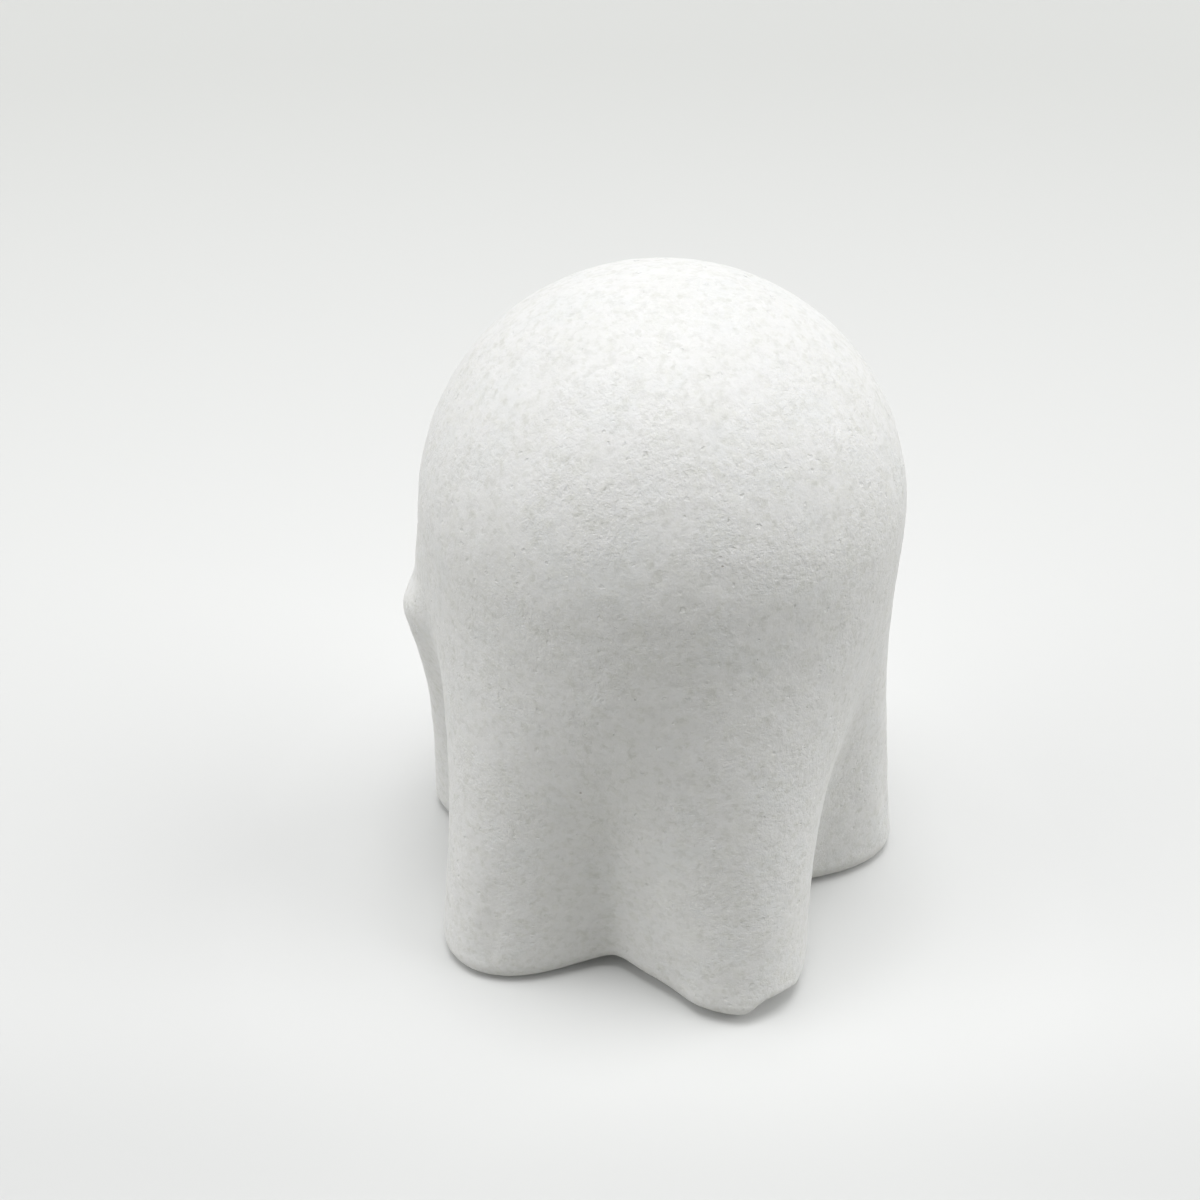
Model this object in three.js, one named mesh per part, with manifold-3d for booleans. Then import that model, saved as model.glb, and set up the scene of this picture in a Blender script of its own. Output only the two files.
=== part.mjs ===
// Marble ghost carving: a small draped figure cut from one block of white marble.
// Millimetres, +Z up. The figure faces -Y, so its left arm is on the +X side and its back is +Y.
// The origin lies on the flat base, straight below the middle of the dome.

import * as THREE from 'three';
import { mergeVertices } from 'three/addons/utils/BufferGeometryUtils.js';
import Module from 'manifold-3d';

// Dome and overall height. A fullness of 2 is an ellipse, and more is squarer.
const height = 70;
const domeRadius = 24.5;
const domeRise = 24.3;
const domeFullness = 2.06;

// Hem. Its folds are given in order round the figure, a valley and a lobe in turn: the direction in
// degrees anticlockwise from +X, how far the hem stands outside the dome's radius there, and how
// much its lower edge is undercut, from 0 to 1.
const hemFolds = [
  { angle: -90, out: -3.0, undercut: 1 },
  { angle: -43.6, out: 4.1, undercut: 0 },
  { angle: -16.2, out: -4.75, undercut: 1 },
  { angle: 19, out: 5.1, undercut: 0 },
  { angle: 54, out: -3.8, undercut: 1 },
  { angle: 88, out: 5.1, undercut: 0.8 },
  { angle: 128, out: -5.4, undercut: 1 },
  { angle: 159, out: 5.0, undercut: 0 },
  { angle: 196, out: -4.3, undercut: 1 },
  { angle: 226, out: 4.5, undercut: 0 },
];

// Rounded lower edge of the hem, a quarter of an ellipse: as high and as deep where it is plain, and
// its height and depth where it is fully undercut.
const plainRounding = 2.2;
const undercutHigh = 3.0;
const undercutDeep = 4.5;

// Start of the folds, given as drops below the middle of the dome. A lobe swells downwards by its
// taper, where 1 is straight and more is later. A fullness below 1 makes a lobe broader than a valley.
const lobeDrop = 5.2;
const lobeTaper = 1.35;
const lobeFullness = 0.85;
const valleyDrop = 1.2;

// Arms, one each side of the front. Each fades fast above its hand and slowly below, as a sleeve that
// leans towards the front by a number of degrees for each mm. Its bluntness shapes the hand across
// and on top: 2 is a bell, and more is blunter.
const armAngle = 70;
const armDrop = 12.2;
const armReach = 2.95;
const armHalfWidth = 3.7;
const armBluntness = 2.5;
const armFadeAbove = 3.9;
const armFadeBelow = 20.7;
const sleeveLean = 0.69;

// Shoulders, a low swelling above each arm, a little nearer to the front.
const shoulderAngle = 56;
const shoulderDrop = 6.1;
const shoulderSwell = 1.45;
const shoulderHalfWidth = 8.3;
const shoulderHalfHeight = 4.9;

// Eyes, two oval hollows in the front of the dome.
const eyeAngle = 17;
const eyeDrop = 1.5;
const eyeWidth = 5.6;
const eyeHeight = 8.2;
const eyeDepth = 2.6;

// Facets of the faceted body and of the eye hollows.
const facetsRound = 120;
const domeRows = 13;
const wallRows = 28;
const roundingRows = 4;
const eyeFacetsRound = 20;
const eyeFacetsHigh = 14;

const domeCentre = height - domeRise;
const lobeTop = domeCentre - lobeDrop;
const valleyTop = domeCentre - valleyDrop;
const armHeight = domeCentre - armDrop;
const shoulderHeight = domeCentre - shoulderDrop;
const eyeCentre = domeCentre - eyeDrop;
const frontAngle = -90;
const sides = [-1, 1];
const { clamp, degToRad, euclideanModulo, lerp } = THREE.MathUtils;

// Distance round the dome, in mm, between two directions given in degrees.
function distanceRound(from, to) {
  const turn = euclideanModulo(to - from + 180, 360) - 180;
  return degToRad(turn) * domeRadius;
}

// Bell curve: 1 at no distance, and 1/e at one fade length. A power above 2 flattens its top.
function bell(distance, fade, power = 2) {
  return Math.exp(-(Math.abs(distance / fade) ** power));
}

// Half wave: 0 at 0, 1 at 1, level at both ends.
function halfWave(share) {
  return (1 - Math.cos(Math.PI * clamp(share, 0, 1))) / 2;
}

// The lobe and the valley on both sides of a direction, and the share towards the lobe: a half wave
// from one to the other, broadened on the lobe's side.
function foldsAt(angle) {
  const turned = euclideanModulo(angle - hemFolds[0].angle, 360) + hemFolds[0].angle;
  const last = hemFolds.findLastIndex((fold) => fold.angle <= turned);
  const before = hemFolds[last];
  const next = hemFolds[(last + 1) % hemFolds.length];
  const span = euclideanModulo(next.angle - before.angle, 360);
  const passed = halfWave((turned - before.angle) / span);
  const [lobe, valley] = before.out > next.out ? [before, next] : [next, before];
  return { lobe, valley, towardsLobe: (lobe === next ? passed : 1 - passed) ** lobeFullness };
}

// How far the folds carry the wall outside the dome's radius.
function foldOut(angle, z) {
  const { lobe, valley, towardsLobe } = foldsAt(angle);
  const lobeShare = clamp(1 - z / lobeTop, 0, 1) ** lobeTaper;
  const valleyShare = halfWave(1 - z / valleyTop);
  return lobe.out * towardsLobe * lobeShare + valley.out * (1 - towardsLobe) * valleyShare;
}

// How far one side's arm and shoulder stand outside the dome's radius.
function armOut(angle, z, side) {
  const aboveArm = z - armHeight;
  const [fade, power] = aboveArm > 0 ? [armFadeAbove, armBluntness] : [armFadeBelow, 2];
  const sleeveAngle = armAngle + sleeveLean * Math.min(aboveArm, 0);
  const fromArm = distanceRound(frontAngle + side * sleeveAngle, angle);
  const fromShoulder = distanceRound(frontAngle + side * shoulderAngle, angle);
  const arm = bell(fromArm, armHalfWidth, armBluntness) * bell(aboveArm, fade, power);
  const shoulder = bell(fromShoulder, shoulderHalfWidth) * bell(z - shoulderHeight, shoulderHalfHeight);
  return armReach * arm + shoulderSwell * shoulder;
}

// Distance of the wall from the axis in one direction, at one height.
function wallRadius(angle, z) {
  const arms = sides.reduce((sum, side) => sum + armOut(angle, z, side), 0);
  return domeRadius + foldOut(angle, z) + arms;
}

// Heights and radii of one meridian of the body, from just below the pole to the edge of the base.
function meridian(angle) {
  const { lobe, valley, towardsLobe } = foldsAt(angle);
  const undercut = lerp(valley.undercut, lobe.undercut, towardsLobe);
  const roundingHigh = lerp(plainRounding, undercutHigh, undercut);
  const roundingDeep = lerp(plainRounding, undercutDeep, undercut);
  const points = [];
  for (let i = 1; i <= domeRows; i += 1) {
    const tilt = (Math.PI / 2) * (i / domeRows);
    const z = domeCentre + domeRise * Math.max(Math.cos(tilt), 0) ** (2 / domeFullness);
    points.push({ z, radius: wallRadius(angle, z) * Math.sin(tilt) ** (2 / domeFullness) });
  }
  for (let i = 1; i <= wallRows; i += 1) {
    const z = lerp(domeCentre, roundingHigh, i / wallRows);
    points.push({ z, radius: wallRadius(angle, z) });
  }
  for (let i = 1; i <= roundingRows; i += 1) {
    const tilt = (Math.PI / 2) * (i / roundingRows);
    const z = i < roundingRows ? roundingHigh * (1 - Math.sin(tilt)) : 0;
    points.push({ z, radius: wallRadius(angle, z) - roundingDeep * (1 - Math.cos(tilt)) });
  }
  return points;
}

// The body without its eyes: a pole, its rows as rings, and a flat base that fills the last ring.
function bodyGeometry() {
  const angles = Array.from({ length: facetsRound }, (_, i) => (360 * i) / facetsRound);
  const meridians = angles.map(meridian);
  const lastRow = meridians[0].length - 1;
  const positions = [0, 0, height];
  const triangles = [];
  const baseOutline = [];
  for (let row = 0; row <= lastRow; row += 1) {
    meridians.forEach((points, i) => {
      const { z, radius } = points[row];
      const x = radius * Math.cos(degToRad(angles[i]));
      const y = radius * Math.sin(degToRad(angles[i]));
      positions.push(x, y, z);
      if (row === lastRow) baseOutline.push(new THREE.Vector2(x, y));
    });
  }
  const corner = (row, i) => 1 + row * facetsRound + (i % facetsRound);
  for (let i = 0; i < facetsRound; i += 1) triangles.push(0, corner(0, i), corner(0, i + 1));
  for (let row = 0; row < lastRow; row += 1) {
    for (let i = 0; i < facetsRound; i += 1) {
      const upper = [corner(row, i), corner(row, i + 1)];
      const lower = [corner(row + 1, i), corner(row + 1, i + 1)];
      triangles.push(upper[0], lower[0], lower[1]);
      triangles.push(upper[0], lower[1], upper[1]);
    }
  }
  for (const [a, b, c] of THREE.ShapeUtils.triangulateShape(baseOutline, [])) {
    triangles.push(corner(lastRow, a), corner(lastRow, c), corner(lastRow, b));
  }
  const geometry = new THREE.BufferGeometry();
  geometry.setAttribute('position', new THREE.Float32BufferAttribute(positions, 3));
  geometry.setIndex(triangles);
  return geometry;
}

// One eye's cutter: an ellipsoid centred on the wall, as deep as the hollow.
function eyeGeometry(side) {
  const angle = frontAngle + side * eyeAngle;
  const radius = wallRadius(angle, eyeCentre);
  const ball = new THREE.SphereGeometry(1, eyeFacetsRound, eyeFacetsHigh);
  ball.rotateX(Math.PI / 2);
  ball.scale(eyeDepth, eyeWidth / 2, eyeHeight / 2);
  ball.translate(radius, 0, eyeCentre);
  ball.rotateZ(degToRad(angle));
  ball.deleteAttribute('normal');
  ball.deleteAttribute('uv');
  return mergeVertices(ball);
}

const wasm = await Module();
wasm.setup();

function toSolid(geometry) {
  const vertProperties = new Float32Array(geometry.attributes.position.array);
  const triVerts = new Uint32Array(geometry.index.array);
  return new wasm.Manifold(new wasm.Mesh({ numProp: 3, vertProperties, triVerts }));
}

function toGeometry(solid) {
  const { vertProperties, triVerts } = solid.getMesh();
  const geometry = new THREE.BufferGeometry();
  geometry.setAttribute('position', new THREE.BufferAttribute(vertProperties, 3));
  geometry.setIndex(new THREE.BufferAttribute(triVerts, 1));
  geometry.computeVertexNormals();
  return geometry;
}

const carved = sides.reduce(
  (solid, side) => solid.subtract(toSolid(eyeGeometry(side))),
  toSolid(bodyGeometry()),
);

const whiteMarble = new THREE.MeshStandardMaterial({
  color: 0xe8e7e2,
  roughness: 0.6,
  metalness: 0,
});

const body = new THREE.Mesh(toGeometry(carved), whiteMarble);
body.name = 'marble_body';

const carving = new THREE.Group();
carving.name = 'ghost_carving';
carving.add(body);

export default carving;
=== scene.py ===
import math

import bpy
import numpy as np
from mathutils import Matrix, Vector


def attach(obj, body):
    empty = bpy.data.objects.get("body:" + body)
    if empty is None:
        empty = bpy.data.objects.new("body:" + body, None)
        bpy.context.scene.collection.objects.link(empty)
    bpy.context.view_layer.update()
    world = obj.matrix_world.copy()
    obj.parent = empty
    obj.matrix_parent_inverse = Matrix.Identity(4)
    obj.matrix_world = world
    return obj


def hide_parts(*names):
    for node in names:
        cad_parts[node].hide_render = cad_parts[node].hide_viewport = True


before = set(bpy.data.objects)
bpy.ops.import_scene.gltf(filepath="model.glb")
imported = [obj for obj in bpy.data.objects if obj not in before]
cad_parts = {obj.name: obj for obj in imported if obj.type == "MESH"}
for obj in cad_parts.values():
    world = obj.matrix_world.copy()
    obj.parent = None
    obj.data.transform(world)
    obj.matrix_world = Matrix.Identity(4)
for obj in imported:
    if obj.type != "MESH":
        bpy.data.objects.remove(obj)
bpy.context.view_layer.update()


# The carved block
# The whole figure is one block of white, medium-grained marble: sawn, ground to a domed head, two stub
# arms and a folded hem, and tumbled until every edge was soft. It stands on its ground underside.

mm = 0.001

# Dome and overall height, in mm as all lengths of this section are.
height = 70
dome_radius = 24.5
dome_rise = 24.3
dome_fullness = 2.06

# Hem: directions of its valleys and lobes, in degrees anticlockwise from +X, how far each stands
# outside the dome's radius, and how much its lower edge is undercut, from 0 to 1. A valley and a lobe
# follow in turn, from the front valley round to it.
fold_angles = np.array([-90, -43.6, -16.2, 19, 54, 88, 128, 159, 196, 226, 270])
fold_outs = np.array([-3.0, 4.1, -4.75, 5.1, -3.8, 5.1, -5.4, 5.0, -4.3, 4.5, -3.0])
fold_undercuts = np.array([1, 0, 1, 0, 1, 0.8, 1, 0, 1, 0, 1])
plain_rounding = 2.2
undercut_high = 3.0
undercut_deep = 4.5
lobe_drop = 5.2
lobe_taper = 1.35
lobe_fullness = 0.85
valley_drop = 1.2

# Arms, and the low swelling of a shoulder beside each.
arm_angle = 70
arm_drop = 12.2
arm_reach = 2.95
arm_half_width = 3.7
arm_bluntness = 2.5
arm_fade_above = 3.9
arm_fade_below = 20.7
sleeve_lean = 0.69
shoulder_angle = 56
shoulder_drop = 6.1
shoulder_swell = 1.45
shoulder_half_width = 8.3
shoulder_half_height = 4.9

# Eyes: oval bowls with worn rims.
eye_angle = 17
eye_drop = 1.5
eye_width = 5.6
eye_height = 8.2
eye_depth = 2.6
eye_rim_softness = 0.45

dome_centre = height - dome_rise
front_angle = -90
sides = (-1, 1)


def wrapped(angle):
    """The angle in degrees, turned into the range from -180 to 180."""
    return np.mod(angle + 180, 360) - 180


def bell(distance, fade, power=2):
    """1 at no distance and 1/e at one fade length. A power above 2 flattens its top."""
    return np.exp(-np.abs(distance / fade) ** power)


def half_wave(share):
    """0 at 0 and 1 at 1, level at both ends: half of one minus the cosine of a half turn."""
    return (1 - np.cos(np.pi * np.clip(share, 0, 1))) / 2


def soft_positive(value, softness):
    """The value where it is positive and 0 elsewhere, rounded within one softness of 0 by a parabola."""
    share = np.clip(0.5 + value / (2 * softness), 0, 1)
    return value * share + softness * share * (1 - share)


def folds_at(angle):
    """Which lobe and which valley lie on both sides of a direction, and the share towards the lobe: a
    half wave from one to the other, raised to a fullness below 1."""
    turned = np.mod(angle - fold_angles[0], 360) + fold_angles[0]
    before = np.clip(np.searchsorted(fold_angles, turned, side="right") - 1, 0, len(fold_angles) - 2)
    span = fold_angles[before + 1] - fold_angles[before]
    passed = half_wave((turned - fold_angles[before]) / span)
    rising = fold_outs[before + 1] > fold_outs[before]
    towards_lobe = np.where(rising, passed, 1 - passed) ** lobe_fullness
    return np.where(rising, before + 1, before), np.where(rising, before, before + 1), towards_lobe


def fold_out(angle, level):
    """How far the folds carry the wall outside the dome's radius. A lobe swells downwards by a power
    of its depth below its top, and a valley sinks in by a half wave of its depth."""
    lobe, valley, towards_lobe = folds_at(angle)
    lobe_share = np.clip(1 - level / (dome_centre - lobe_drop), 0, 1) ** lobe_taper
    valley_share = half_wave(1 - level / (dome_centre - valley_drop))
    return (
        fold_outs[lobe] * towards_lobe * lobe_share
        + fold_outs[valley] * (1 - towards_lobe) * valley_share
    )


def arm_out(angle, level, side):
    """How far one side's arm and shoulder stand outside the dome's radius: two bells, each the product
    of one round the dome and one up and down. The arm fades fast above its hand and slowly below, where
    its sleeve leans towards the front by a number of degrees for each mm."""
    above_arm = level - (dome_centre - arm_drop)
    sleeve_angle = arm_angle + sleeve_lean * np.minimum(above_arm, 0)
    from_arm = np.radians(wrapped(angle - front_angle - side * sleeve_angle)) * dome_radius
    from_shoulder = np.radians(wrapped(angle - front_angle - side * shoulder_angle)) * dome_radius
    above_shoulder = level - (dome_centre - shoulder_drop)
    fade = np.where(above_arm > 0, arm_fade_above, arm_fade_below)
    power = np.where(above_arm > 0, arm_bluntness, 2)
    arm = bell(from_arm, arm_half_width, arm_bluntness) * bell(above_arm, fade, power)
    shoulder = bell(from_shoulder, shoulder_half_width) * bell(above_shoulder, shoulder_half_height)
    return arm_reach * arm + shoulder_swell * shoulder


def wall_radius(angle, level):
    """Distance of the wall from the axis: the dome's radius, the folds and both arms."""
    return dome_radius + fold_out(angle, level) + sum(arm_out(angle, level, side) for side in sides)


def spaced(low, high, count, closeness):
    """Values from low to high whose steps shrink where the closeness is large: equal steps of the
    closeness's running sum, read back as places."""
    samples = 6000
    fine = np.linspace(low, high, samples)
    running = np.cumsum(closeness(fine))
    return np.interp(np.linspace(running[0], running[-1], count), running, fine)


# The grid: columns round the figure and rows down its profile, from below the pole over the dome and
# down the wall to the hem's rounding. Both are closer over the eyes, and the rows over the rounding
# too. The eye zone reaches this far, in degrees round and in mm up and down, from the middle between
# the eyes. Travel is the way down the profile.
columns = 460
rows = 203
base_rings = 9
closer_columns = 0.9
closer_rows = 0.75
closer_rounding = 0.5
eye_zone_round = 31
eye_zone_high = 5.6
zone_bluntness = 6
dome_travel = 38.3
wall_travel = dome_centre - undercut_high
rounding_travel = 4.5
whole_travel = dome_travel + wall_travel + rounding_travel
eye_travel = dome_travel + eye_drop

angles = spaced(
    front_angle - 180, front_angle + 180, columns + 1,
    lambda angle: 1 + closer_columns * bell(angle - front_angle, eye_zone_round, zone_bluntness),
)[:-1]
travel = spaced(
    0, whole_travel, rows + 1,
    lambda way: 1 + closer_rows * bell(way - eye_travel, eye_zone_high, zone_bluntness)
    + closer_rounding * (way > whole_travel - rounding_travel),
)[1:, None]

dome_tilt = np.clip(travel / dome_travel, 0, 1) * np.pi / 2
rounding_tilt = np.clip((travel - dome_travel - wall_travel) / rounding_travel, 0, 1) * np.pi / 2
share = np.sin(dome_tilt) ** (2 / dome_fullness)
dome_level = dome_centre + dome_rise * np.maximum(np.cos(dome_tilt), 0) ** (2 / dome_fullness)

# The lower edge is rounded by a quarter of an ellipse. It is higher and deeper where the hem is
# undercut, so the height of a row changes round the figure.
lobe, valley, towards_lobe = folds_at(angles)
undercut = fold_undercuts[valley] + (fold_undercuts[lobe] - fold_undercuts[valley]) * towards_lobe
rounding_high = plain_rounding + (undercut_high - plain_rounding) * undercut
rounding_deep = plain_rounding + (undercut_deep - plain_rounding) * undercut
wall_share = np.clip((travel - dome_travel) / wall_travel, 0, 1)
wall_level = dome_centre - (dome_centre - rounding_high) * wall_share
wall_level = wall_level - rounding_high * np.sin(rounding_tilt)
inset = rounding_deep * (1 - np.cos(rounding_tilt))
level = np.where(travel < dome_travel, dome_level, wall_level)
level[-1] = 0  # The last row ends exactly at the floor.

# The skin before its lower edge is rounded: height and distance from the axis, turned round it.
ring_radius = wall_radius(angles, level) * share
turns = np.radians(angles)
away = np.stack([np.cos(turns), np.sin(turns), 0 * turns], axis=-1)
skin = ring_radius[..., None] * away + level[..., None] * np.array([0, 0, 1])


def pointing(direction, lift):
    """Unit vector at a direction round the figure and a lift above the horizon, both in degrees."""
    turn, rise = math.radians(direction), math.radians(lift)
    return np.array([math.cos(turn) * math.cos(rise), math.sin(turn) * math.cos(rise), math.sin(rise)])


def skin_at(angle, low):
    """A place on the ground skin and its unit normal, from the slopes of the wall's radius there."""
    step = 0.01
    radius = wall_radius(np.array(angle), np.array(low))
    slope_round = (wall_radius(np.array(angle + step), np.array(low)) - radius) / math.radians(step)
    slope_up = (wall_radius(np.array(angle), np.array(low + step)) - radius) / step
    out_way, round_way, up = pointing(angle, 0), pointing(angle + 90, 0), np.array([0, 0, 1])
    normal = out_way - round_way * slope_round / radius - up * slope_up
    return out_way * radius + up * low, normal / np.linalg.norm(normal)


def flattened(points, middle, facing, cut, reach, softness):
    """The points with one flat in them. Its plane lies one cut below the middle. Points beyond the
    plane go back to it along its facing, by the soft positive part of their excess, times a blunt
    bell of their distance from the middle, measured in the flat's reaches across and up."""
    bluntness = 6
    excess = (points - middle) @ facing + cut
    across, up = reach
    near = bell(np.linalg.norm((points - middle) / (across, across, up), axis=-1), 1, bluntness)
    return points - (soft_positive(excess, softness) * near)[..., None] * facing


# The flat that the grinder left on the left side of the rear lobe. It faces more to the left than the
# skin there, and ends to the right in a crease, so its plane goes through a place on that crease.
# Both places are given by direction and height.
flat_reach = (5.0, 9.0)
crisp = 0.025
flat_middle = skin_at(69, 9)[0]
flat_crease = skin_at(73.5, 8)[0]
flat_facing = pointing(30.5, -1.2)
flat_cut = (flat_middle - flat_crease) @ flat_facing
skin = flattened(skin, flat_middle, flat_facing, flat_cut, flat_reach, crisp)

# Fainter flats on the skirt, as the skin faces there: direction, height and cut.
faint_flats = ((28, 9.0, 0.12), (152, 10.0, 0.14), (-40, 8.0, 0.14), (239, 8.0, 0.14))
faint_reach = (6.0, 6.0)
blurred = 0.2
for direction, low, cut in faint_flats:
    skin = flattened(skin, *skin_at(direction, low), cut, faint_reach, blurred)

# The rounding moves the lowest rows in. Below them the flat underside follows as rings, each a smaller
# copy of the last row.
skin = skin - inset[..., None] * away
base_shares = np.linspace(1, 0, base_rings + 1)[1:-1, None, None]
skin = np.vstack([skin, skin[-1] * base_shares])

# The chip broken from the rear lobe's lower edge, round a place given by direction and height.
chip_reach = 3.9
chip_cut = 1.08
chip_softness = 0.08
chip_middle = skin_at(94, 1.6)[0]
skin = flattened(skin, chip_middle, pointing(96, -40), chip_cut, (chip_reach, chip_reach), chip_softness)

# The eye bowls. Each is a bowl along its own axis, whose floor lies one depth inside the wall and
# whose sides rise with the cube of the distance from its middle. Its rim is rounded where it meets
# the skin.
eye_centre = dome_centre - eye_drop
for side in sides:
    axis = pointing(front_angle + side * eye_angle, 0)
    across = np.array([-axis[1], axis[0], 0])
    wall_here = wall_radius(np.array(front_angle + side * eye_angle), np.array(eye_centre))
    out = np.hypot(2 * (skin @ across) / eye_width, 2 * (skin[..., 2] - eye_centre) / eye_height)
    bowl_floor = wall_here - eye_depth * (1 - out ** 3)
    hollow = soft_positive(skin @ axis - bowl_floor, eye_rim_softness)
    skin = skin - hollow[..., None] * axis


def outward(points):
    """Unit normals of the grid: the way down each column crossed with the way round each row."""
    closed = np.concatenate([points[:, -1:], points, points[:, :1]], axis=1)
    way_round = closed[:, 2:] - closed[:, :-2]
    way_down = np.gradient(points, axis=0)
    crossed = np.cross(way_down, way_round)
    return crossed / np.maximum(np.linalg.norm(crossed, axis=-1, keepdims=True), 1e-9)


def uneven(points, lengths, waves, seed):
    """A smooth random field with a spread of 1: a sum of plane waves, each with its own direction,
    phase and wavelength between the two lengths."""
    draw = np.random.default_rng(seed)
    wave_ways = draw.normal(size=(waves, 3))
    wave_ways /= np.linalg.norm(wave_ways, axis=1, keepdims=True)
    wave_ways *= 2 * np.pi / draw.uniform(*lengths, (waves, 1))
    phases = draw.uniform(0, 2 * np.pi, waves)
    return np.cos(points @ wave_ways.T + phases).sum(axis=-1) * math.sqrt(2 / waves)


def plucked(points, spacing, chance, radii, depths, seed):
    """How deep the skin is sunk where grains were plucked out.

    Space is divided into cubes of the spacing. Each holds one possible pit at a random place in it,
    with a random radius and depth. In a pit the depth fades from its middle as the square of one
    minus the squared distance over the radius.
    """
    draw = np.random.default_rng(seed)
    cubes = 64
    places = draw.uniform(0, 1, (cubes, cubes, cubes, 3))
    sizes = draw.uniform(*radii, (cubes, cubes, cubes))
    deeps = draw.uniform(*depths, (cubes, cubes, cubes)) * (draw.uniform(0, 1, (cubes,) * 3) < chance)
    home = np.floor(points / spacing).astype(int)
    sunk = np.zeros(points.shape[:-1])
    for step in np.ndindex(3, 3, 3):
        cube = home + np.array(step) - 1
        at = tuple(np.moveaxis(np.mod(cube, cubes), -1, 0))
        away = np.linalg.norm(points - (cube + places[at]) * spacing, axis=-1) / sizes[at]
        sunk = np.maximum(sunk, deeps[at] * np.clip(1 - away ** 2, 0, 1) ** 2)
    return sunk


# Hand work and tumbling leave the skin a little wavy, finely uneven, and pitted where grains came out,
# and the chip shows broken stone. All of it lies below the ground shape, and it fades out at the flat
# underside. The depths are means in mm, and the spreads go both ways from them. The lengths are the
# shortest and the longest wavelength of each.
ground = skin
wave_deep, wave_spread, wave_lengths = 0.08, 0.025, (9, 22)
uneven_deep, uneven_spread, uneven_lengths = 0.035, 0.013, (2.2, 5)
fine_spread, fine_lengths = 0.007, (1.1, 2.0)
broken_deep, broken_spread, broken_lengths = 0.1, 0.06, (1.2, 3.0)
broken_reach = 3.2
broken_bluntness = 6
broken_top = 3.3
broken_fade = 2.2
underside_fade = 1.5
from_chip = np.linalg.norm(ground - chip_middle, axis=-1)
broken = bell(from_chip, broken_reach, broken_bluntness)
broken = broken * half_wave((broken_top - ground[..., 2]) / broken_fade)
waviness = wave_deep + wave_spread * uneven(ground, wave_lengths, waves=40, seed=11)
unevenness = uneven_deep + uneven_spread * uneven(ground, uneven_lengths, waves=60, seed=12)
unevenness = unevenness + fine_spread * uneven(ground, fine_lengths, waves=60, seed=13)
pits = plucked(ground, spacing=3.4, chance=0.5, radii=(0.55, 1.0), depths=(0.03, 0.1), seed=14)
fracture = broken_deep + broken_spread * uneven(ground, broken_lengths, waves=40, seed=15)
fracture = broken * fracture
sunk = np.maximum(waviness, 0) + np.maximum(unevenness, 0) + pits + np.maximum(fracture, 0)
skin = ground - (sunk * half_wave(ground[..., 2] / underside_fade))[..., None] * outward(ground)

# The underside keeps its level, and nothing goes below the floor.
skin[rows:, :, 2] = ground[rows:, :, 2]
skin[..., 2] = np.maximum(skin[..., 2], 0)

# The mesh: the pole, the grid's points row by row, and the middle of the underside.
pole = skin[0].mean(axis=0) * np.array([0, 0, 1])
vertices = np.vstack([pole, skin.reshape(-1, 3), [0, 0, 0]]) * mm
grid_rows = skin.shape[0]
corners = 1 + np.arange(grid_rows * columns).reshape(grid_rows, columns)
next_corners = np.roll(corners, -1, axis=1)
quads = np.stack([corners[:-1], corners[1:], next_corners[1:], next_corners[:-1]], axis=-1).reshape(-1, 4)
top_fan = np.stack([0 * corners[0], corners[0], next_corners[0]], axis=-1)
base_fan = np.stack([corners[-1], 0 * corners[-1] + len(vertices) - 1, next_corners[-1]], axis=-1)
block_mesh = bpy.data.meshes.new("carved_block")
block_mesh.from_pydata(vertices.tolist(), [], quads.tolist() + top_fan.tolist() + base_fan.tolist())
block_mesh.shade_smooth()
carved_block = bpy.data.objects.new("carved_block", block_mesh)
bpy.context.scene.collection.objects.link(carved_block)


def plain_colour(tone):
    """A colour as a node's socket takes it."""
    return (*tone, 1)


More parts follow.
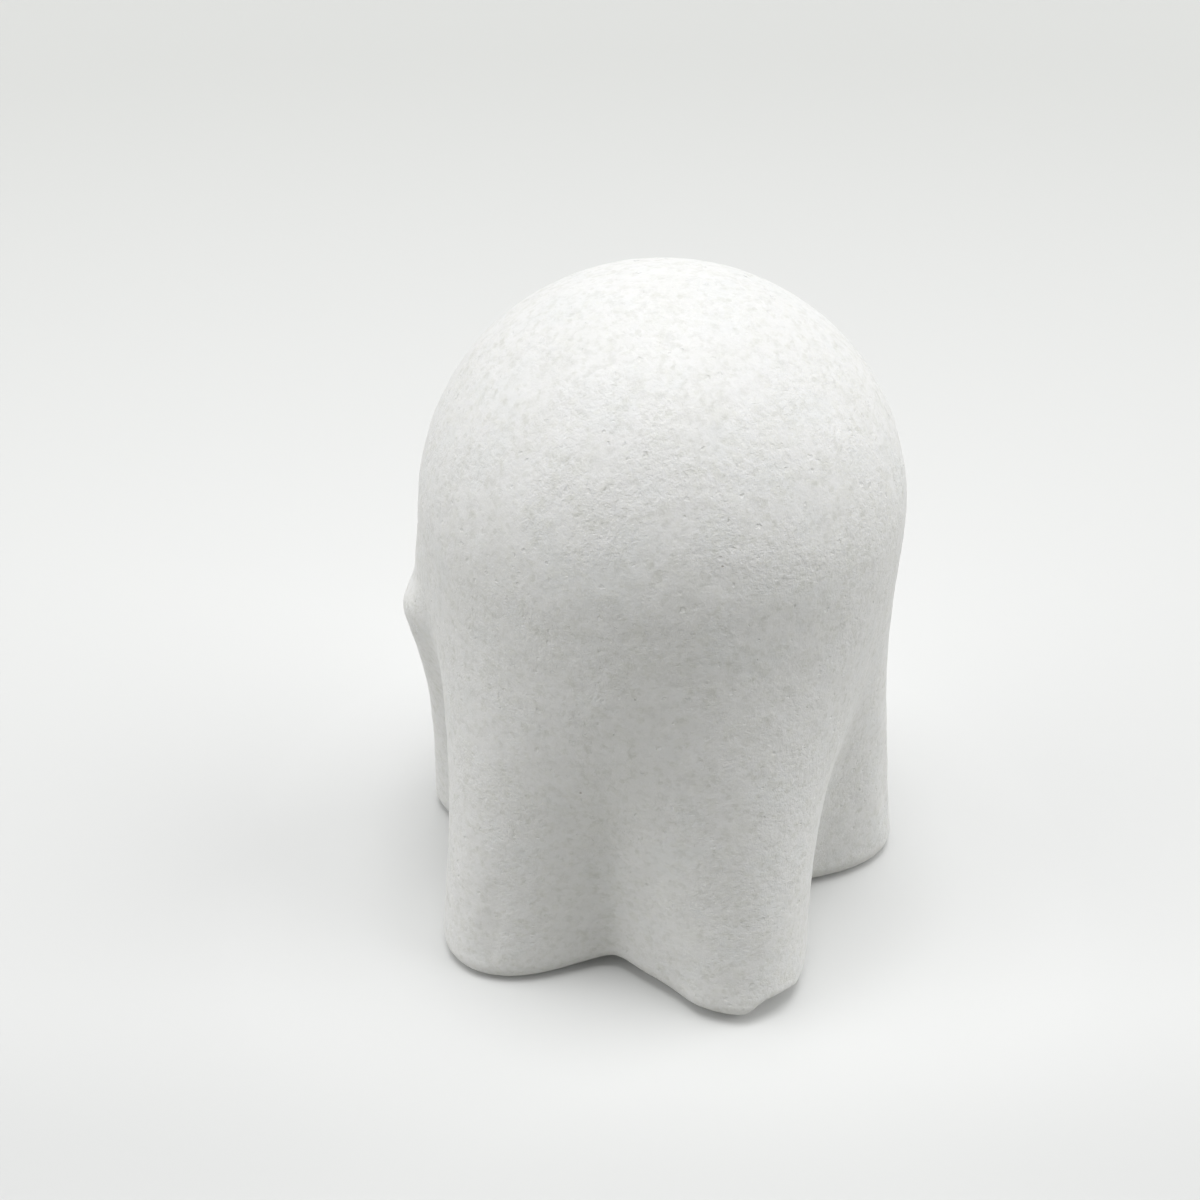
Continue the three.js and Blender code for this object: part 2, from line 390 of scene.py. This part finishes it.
class Wire:
    """A socket of a finish's nodes, so that shader maths reads as Python expressions."""

    def __init__(self, tree, socket=None):
        self.tree = tree
        self.socket = socket

    def node(self, kind, settings=None, sockets=None, out=0):
        """Adds a node of a kind, makes its settings, then fills its sockets with values or wires, and
        returns the wire of one of its outputs."""
        made = self.tree.nodes.new(kind)
        for name, value in (settings or {}).items():
            setattr(made, name, value)
        for name, value in (sockets or {}).items():
            if isinstance(value, Wire):
                self.tree.links.new(value.socket, made.inputs[name])
            else:
                made.inputs[name].default_value = value
        return Wire(self.tree, made.outputs[out] if made.outputs else None)

    def reckoned(self, operation, *values):
        """A Math node's operation on the values."""
        return self.node("ShaderNodeMath", {"operation": operation}, dict(enumerate(values)))

    def __add__(self, other):
        return self.reckoned("ADD", self, other)

    def __sub__(self, other):
        return self.reckoned("SUBTRACT", self, other)

    def __rsub__(self, other):
        return self.reckoned("SUBTRACT", other, self)

    def __mul__(self, other):
        return self.reckoned("MULTIPLY", self, other)

    def __truediv__(self, other):
        return self.reckoned("DIVIDE", self, other)

    def __gt__(self, other):
        return self.reckoned("GREATER_THAN", self, other)

    def __pow__(self, other):
        return self.reckoned("POWER", self, other)

    __radd__ = __add__
    __rmul__ = __mul__

    def between(self, low, high):
        """0 up to the low value and 1 from the high value, with a smooth rise between. A low value
        above the high one gives the fall instead."""
        first, last = (low, high) if low < high else (high, low)
        ends = (0, 1) if low < high else (1, 0)
        return self.node(
            "ShaderNodeMapRange", {"interpolation_type": "SMOOTHSTEP"},
            {0: self, 1: first, 2: last, 3: ends[0], 4: ends[1]},
        )

    def coloured(self, tone):
        """A plain colour."""
        made = self.node("ShaderNodeRGB")
        made.socket.default_value = plain_colour(tone)
        return made

    def stained(self, other, amount):
        """This colour mixed with another one, given as a tone or a wire, by an amount."""
        other = other if isinstance(other, Wire) else plain_colour(other)
        return self.node("ShaderNodeMix", {"data_type": "RGBA"}, {0: amount, 6: self, 7: other}, 2)

    def parted(self):
        """The three parts of this colour."""
        first = self.node("ShaderNodeSeparateColor", sockets={0: self})
        return [Wire(self.tree, part) for part in first.socket.node.outputs]


# White marble. It is a mass of calcite grains. Most are milky, and some are clear and look grey-olive.
# Tumbling left the skin satin, with a sugary relief, small pits where grains came out, and a few
# bright cleavage faces. Lengths in mm.
milky = (0.805, 0.806, 0.797)
chalky = (0.88, 0.88, 0.876)
clear_grain = (0.49, 0.495, 0.44)
olive_cloud = (0.76, 0.764, 0.73)
cool_cloud = (0.755, 0.785, 0.775)
dark_speck = (0.22, 0.17, 0.13)
grain_size = 0.62
mottle_size = 1.3
patch_size = 5.0
smudge_size = 0.95
tooth_size = 0.2
lump_size = 0.5
wear_size = 6.0
pit_spacing = 1.15
speck_spacing = 5.5
border_wander = 0.6
border_size = 0.5

# How far each colour goes where it shows most, from 0 to 1. A clear grain goes from the first share
# by up to the second one more.
chalk_share = 0.8
patch_share = 0.2
mottle_share = 0.5
smudge_share = 0.25
clear_share, deeper_share = 0.08, 0.2
speck_share = 0.6

# Between which values each one comes in: of a noise, of a random number, or of the distance from a
# cell's middle in cells. The first value is the larger one where it shows below the second. A pit's
# slope goes by the share of the way from its edge to its middle.
grain_rise = (0.7, 0.3)
clear_rise = (0.6, 0.95)
olive_patch_rise = (0.46, 0.66)
cool_patch_rise = (0.5, 0.34)
olive_mottle_rise = (0.5, 0.64)
smudge_rise = (0.46, 0.72)
speck_rise = (0.034, 0.014)
plateau_rise = (0.36, 0.54)
pit_rise = (0.55, 0.7)
pit_slope = (0.0, 0.7)
wear_rise = (0.35, 0.65)

# From which random number on a cell holds a speck, and a grain shows a bright cleavage face.
speck_from = 0.66
cleavage_from = 0.99

# How much a grain's own number, the mottle and the patches say in whether a grain is clear or chalky
# and whether a cell has a pit, and how much a cell's number and the lumps say in the pit's reach.
clear_by_patch, clear_by_mottle = 0.4, 1.2
chalk_usual, chalk_by_grain, chalk_by_mottle = 0.45, 0.45, 1.6
pit_by_patch = 0.8
reach_by_cell, reach_by_lumps = 0.2, 0.25

# Roughness, how much the tooth and the mottle change it, and how much less a cleavage face has.
usual_rough, rough_by_tooth, rough_by_mottle, cleavage_shine = 0.6, 0.12, 0.1, 0.32

# Heights and depths of the relief, in mm, and the share of it left where the skin is most worn.
least_relief = 0.4
tooth_high = 0.045
plateau_high = 0.015
lump_high = 0.03
grain_high = 0.018
mottle_high = 0.04
pit_deep = 0.055
speck_deep = 0.03
clear_deep = 0.008

marble = bpy.data.materials.new("white_marble")
marble.use_nodes = True
marble.node_tree.nodes.clear()
start = Wire(marble.node_tree)
place = start.node("ShaderNodeTexCoord", out="Object")
place = start.node("ShaderNodeVectorMath", {"operation": "SCALE"}, {0: place, 3: 1 / mm})


def soft_noise(where, size, detail=2.0, roughness=0.5, out=0):
    """Noise whose lumps have a size in mm."""
    sockets = {"Vector": where, "Scale": 1 / size, "Detail": detail, "Roughness": roughness}
    return where.node("ShaderNodeTexNoise", sockets=sockets, out=out)


def grain_cells(where, size):
    """Voronoi cells of a size in mm: the distance from a cell's middle, in cells, and the three random
    numbers of each cell."""
    distance = where.node("ShaderNodeTexVoronoi", sockets={"Vector": where, "Scale": 1 / size})
    numbers = Wire(where.tree, distance.socket.node.outputs["Color"])
    return distance, numbers.parted()


def swing(number):
    """How far a noise or a random number is above its middle value, a half."""
    return number - 0.5


# Grain borders wander, so the place is pushed about by the swing of a noise in all three directions
# before the cells are read.
push = soft_noise(place, border_size, roughness=0.6, out="Color")
push = start.node("ShaderNodeVectorMath", {"operation": "SUBTRACT"}, {0: push, 1: (0.5, 0.5, 0.5)})
push = start.node("ShaderNodeVectorMath", {"operation": "SCALE"}, {0: push, 3: border_wander})
grain_place = start.node("ShaderNodeVectorMath", {"operation": "ADD"}, {0: place, 1: push})

# Which grains are clear and which are chalky goes by each grain's own random numbers, and by the
# mottle and the wider patches.
grain_distance, (grain_tone, grain_gloss, grain_height) = grain_cells(grain_place, grain_size)
mottle = soft_noise(place, mottle_size, detail=3.0, roughness=0.6)
patch = soft_noise(place, patch_size)

clear_lean = grain_tone + swing(patch) * clear_by_patch + swing(mottle) * clear_by_mottle
chalk_lean = swing(grain_tone) * chalk_by_grain + swing(mottle) * chalk_by_mottle + chalk_usual
clear_here = clear_lean.between(*clear_rise) * grain_distance.between(*grain_rise)
chalk_here = chalk_lean.between(0.0, 1.0)
smudge = soft_noise(grain_place, smudge_size, detail=3.0, roughness=0.65).between(*smudge_rise)
stone_colour = start.coloured(milky)
stone_colour = stone_colour.stained(chalky, chalk_here * chalk_share)
stone_colour = stone_colour.stained(olive_cloud, patch.between(*olive_patch_rise) * patch_share)
stone_colour = stone_colour.stained(cool_cloud, patch.between(*cool_patch_rise) * patch_share)
stone_colour = stone_colour.stained(olive_cloud, mottle.between(*olive_mottle_rise) * mottle_share)
stone_colour = stone_colour.stained(clear_grain, smudge * smudge_share)
clear_amount = clear_here * (grain_gloss * deeper_share + clear_share)
stone_colour = stone_colour.stained(clear_grain, clear_amount)

# A third of the cells hold one small dark speck in the middle.
speck_distance, (speck_pick, _, _) = grain_cells(grain_place, speck_spacing)
speck_here = speck_distance.between(*speck_rise) * (speck_pick > speck_from)
stone_colour = stone_colour.stained(dark_speck, speck_here * speck_share)

# The relief: sugary tooth, lumps with flat tops, grains at different heights, and plucked pits. It is
# fainter where the skin is worn. A pit's reach changes with the lumps, so its outline is uneven, and
# more pits lie in the patches.
tooth = soft_noise(place, tooth_size, roughness=0.55)
lumps = soft_noise(place, lump_size)
plateau = lumps.between(*plateau_rise)
pit_distance, (pit_pick, pit_width, _) = grain_cells(grain_place, pit_spacing)
pit_reach = pit_width * reach_by_cell + lumps * reach_by_lumps
pit_chosen = (pit_pick + swing(patch) * pit_by_patch).between(*pit_rise)
pit_here = (1 - pit_distance / pit_reach).between(*pit_slope) * pit_chosen
unworn = soft_noise(place, wear_size, detail=1.0).between(*wear_rise)
fine_relief = tooth * tooth_high + plateau * plateau_high + lumps * lump_high
fine_relief = fine_relief + swing(grain_height) * grain_high
relief = fine_relief * (unworn * (1 - least_relief) + least_relief) + mottle * mottle_high
relief = relief - pit_here * pit_deep - speck_here * speck_deep - clear_here * clear_deep
bumped = start.node("ShaderNodeBump", sockets={"Strength": 1.0, "Distance": mm, "Height": relief})

# One grain in a hundred shows a bright cleavage face.
cleavage = (grain_gloss > cleavage_from) * (1 - pit_here)
satin = usual_rough + swing(tooth) * rough_by_tooth + swing(mottle) * rough_by_mottle
satin = satin - cleavage * cleavage_shine
stone = start.node(
    "ShaderNodeBsdfPrincipled", {"subsurface_method": "RANDOM_WALK"},
    {
        "Base Color": stone_colour, "Roughness": satin, "Normal": bumped, "IOR": 1.5,
        "Subsurface Weight": 0.1, "Subsurface Radius": (1.0, 0.95, 0.8), "Subsurface Scale": 0.6 * mm,
    },
)
start.node("ShaderNodeOutputMaterial", sockets={"Surface": stone})
block_mesh.materials.append(marble)

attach(carved_block, "root")
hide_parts("marble_body")


# The floor
# A wide, plain, pale sheet under the carving. It is matt. Its colour holds painted shade: a little greyer
# far away, a painted fall-off of the light; close to the carving, a painted contact shadow; and where
# the phone keeps light off it, a painted shadow of the phone.

floor_radius = 4.0
floor_ring_radii = (0.05, 0.1, 0.2, 0.4, 0.8, 1.6, 2.8, floor_radius)
floor_turn = 3
near_floor = (0.757, 0.763, 0.757)
# Painted fall-off of the light: the tone of the sheet far away.
far_painted_falloff = (0.6, 0.607, 0.592)
# Painted shadow of the phone on the sheet.
painted_phone_shadow = (0.65, 0.656, 0.65)
# Painted contact shadow: the tone of the sheet close to the carving.
painted_contact_shadow = (0.715, 0.722, 0.716)
sheet_grain = 900
sheet_grain_strength = 0.15
sheet_grain_high = 0.02 * mm

# Between which distances each tone comes in, in metres from the axis, and for the painted shadow of the
# phone also towards the phone, which is at this direction in degrees.
floor_fade = (0.05, 0.8)
floor_fade_power = 0.32
painted_shadow_fade = (0.048, 0.026)
phone_direction = 67
phone_fade = (0.022, 0.046)
phone_reach = (0.3, 0.12)

# The sheet sends light back to the carving in these weaker tones, as if from a sheet that the phone
# shades from above.
near_bounce = (0.4, 0.4, 0.375)
far_bounce = (0.35, 0.35, 0.33)
bounce_fade = (0.04, 0.075)

# The sheet is a disc of rings round the axis.
floor_turns = np.radians(np.arange(0, 360, floor_turn))
floor_rings = np.array(floor_ring_radii)[:, None]
floor_points = np.stack([
    floor_rings * np.cos(floor_turns),
    floor_rings * np.sin(floor_turns),
    0 * floor_rings * floor_turns,
], axis=-1)
floor_corners = 1 + np.arange(floor_points.shape[0] * floor_points.shape[1]).reshape(floor_points.shape[:2])
floor_next = np.roll(floor_corners, -1, axis=1)
floor_quads = np.stack([floor_corners[:-1], floor_corners[1:], floor_next[1:], floor_next[:-1]], axis=-1)
floor_fan = np.stack([0 * floor_corners[0], floor_corners[0], floor_next[0]], axis=-1)
floor_mesh = bpy.data.meshes.new("floor")
floor_mesh.from_pydata(
    np.vstack([[0, 0, 0], floor_points.reshape(-1, 3)]).tolist(), [],
    floor_quads.reshape(-1, 4).tolist() + floor_fan.tolist(),
)
floor = bpy.data.objects.new("floor", floor_mesh)
bpy.context.scene.collection.objects.link(floor)


def seen_directly(start):
    """1 for a ray from the camera, or one that shows the surroundings in gloss or through glass, and 0
    for one that carries light: the largest of the three marks of its kind."""
    camera = start.node("ShaderNodeLightPath", out="Is Camera Ray")
    glossy = start.node("ShaderNodeLightPath", out="Is Glossy Ray")
    passed = start.node("ShaderNodeLightPath", out="Is Transmission Ray")
    return start.reckoned("MAXIMUM", start.reckoned("MAXIMUM", camera, glossy), passed)


sheet = bpy.data.materials.new("pale_sheet")
sheet.use_nodes = True
sheet.node_tree.nodes.clear()
start = Wire(sheet.node_tree)
floor_place = start.node("ShaderNodeTexCoord", out="Object")
floor_away = start.node("ShaderNodeVectorMath", {"operation": "LENGTH"}, {0: floor_place}, 1)
# Painted fall-off of the light: the sheet turns greyer far away.
painted_falloff_share = floor_away.between(*floor_fade) ** floor_fade_power
floor_colour = start.coloured(near_floor).stained(far_painted_falloff, painted_falloff_share)
# Painted contact shadow: the sheet turns greyer close to the carving.
floor_colour = floor_colour.stained(painted_contact_shadow, floor_away.between(*painted_shadow_fade))
phone_way = pointing(phone_direction, 0).tolist()
towards_phone = start.node(
    "ShaderNodeVectorMath", {"operation": "DOT_PRODUCT"}, {0: floor_place, 1: phone_way}, 1
)
# Painted shadow of the phone: the sheet turns greyer towards the phone, not far out.
phone_shadow_here = towards_phone.between(*phone_fade) * floor_away.between(*phone_reach)
floor_colour = floor_colour.stained(painted_phone_shadow, phone_shadow_here)
bounced = start.coloured(near_bounce).stained(far_bounce, floor_away.between(*bounce_fade))
floor_colour = bounced.stained(floor_colour, seen_directly(start))
floor_grain = start.node(
    "ShaderNodeTexNoise", sockets={"Vector": floor_place, "Scale": sheet_grain, "Detail": 3.0}
)
floor_bump = start.node(
    "ShaderNodeBump",
    sockets={"Strength": sheet_grain_strength, "Distance": sheet_grain_high, "Height": floor_grain},
)
matt = start.node(
    "ShaderNodeBsdfPrincipled",
    sockets={"Base Color": floor_colour, "Roughness": 0.85, "Normal": floor_bump, "IOR": 1.3},
)
start.node("ShaderNodeOutputMaterial", sockets={"Surface": matt})
floor_mesh.materials.append(sheet)


# The camera
# A phone held about 12 cm from the dome, behind the figure and a little to its left, and looking down
# at it by 31 degrees. The dome's middle is at a known pixel of the square picture.

picture_width = 1200
focal_pixels = 1200
look_down = 31.13
look_azimuth = 156.88
dome_pixel = (659.96, 504.83)
dome_distance = 123.23 * mm
sensor = 36

azimuth = math.radians(look_azimuth)
down = math.radians(look_down)
forward = Vector((-math.sin(azimuth) * math.cos(down), math.cos(azimuth) * math.cos(down), -math.sin(down)))
rightward = forward.cross(Vector((0, 0, 1))).normalized()
upward = rightward.cross(forward)
to_dome = (
    forward
    + rightward * ((dome_pixel[0] - picture_width / 2) / focal_pixels)
    - upward * ((dome_pixel[1] - picture_width / 2) / focal_pixels)
).normalized()
phone_data = bpy.data.cameras.new("phone")
phone_data.sensor_width = sensor
phone_data.lens = sensor * focal_pixels / picture_width
phone_data.clip_start = 5 * mm
phone_data.clip_end = 20
phone = bpy.data.objects.new("phone", phone_data)
phone.location = Vector((0, 0, dome_centre * mm)) - to_dome * dome_distance
phone.rotation_euler = forward.to_track_quat("-Z", "Y").to_euler()
bpy.context.scene.collection.objects.link(phone)
bpy.context.scene.camera = phone


# The light
# A soft box overhead, and a low and a high one far to the left and to the right of the camera's line,
# with a pale room all round.

def soft_box(name, azimuth_degrees, elevation, strength, width):
    """A distant lamp in a direction seen from the carving, with its apparent width in degrees."""
    lamp_data = bpy.data.lights.new(name, "SUN")
    lamp_data.energy = strength
    lamp_data.angle = math.radians(width)
    lamp = bpy.data.objects.new(name, lamp_data)
    lamp.rotation_euler = Vector(-pointing(azimuth_degrees, elevation)).to_track_quat("-Z", "Y").to_euler()
    bpy.context.scene.collection.objects.link(lamp)


# Direction and elevation in degrees, strength, and apparent width in degrees.
soft_box("overhead", 67, 88, 1.8, 30)
soft_box("left_low", -9, 10, 0.9, 60)
soft_box("left_high", -25, 40, 0.62, 50)
soft_box("right_low", 158, 10, 0.48, 60)
soft_box("right_high", 158, 40, 1.12, 50)

# The room gives an even glow, and looks like a pale backdrop.
white = (1, 1, 1)
room_glow = 0.2
backdrop = (0.8, 0.81, 0.795)
room = bpy.data.worlds.new("room")
room.use_nodes = True
room.node_tree.nodes.clear()
start = Wire(room.node_tree)
lighting = {"Color": plain_colour(white), "Strength": room_glow}
looking = {"Color": plain_colour(backdrop), "Strength": 1.0}
room_light = start.node("ShaderNodeBackground", sockets=lighting)
room_look = start.node("ShaderNodeBackground", sockets=looking)
both = start.node("ShaderNodeMixShader", sockets={0: seen_directly(start), 1: room_light, 2: room_look})
start.node("ShaderNodeOutputWorld", sockets={"Surface": both})
bpy.context.scene.world = room
bpy.context.scene.view_settings.view_transform = "Standard"
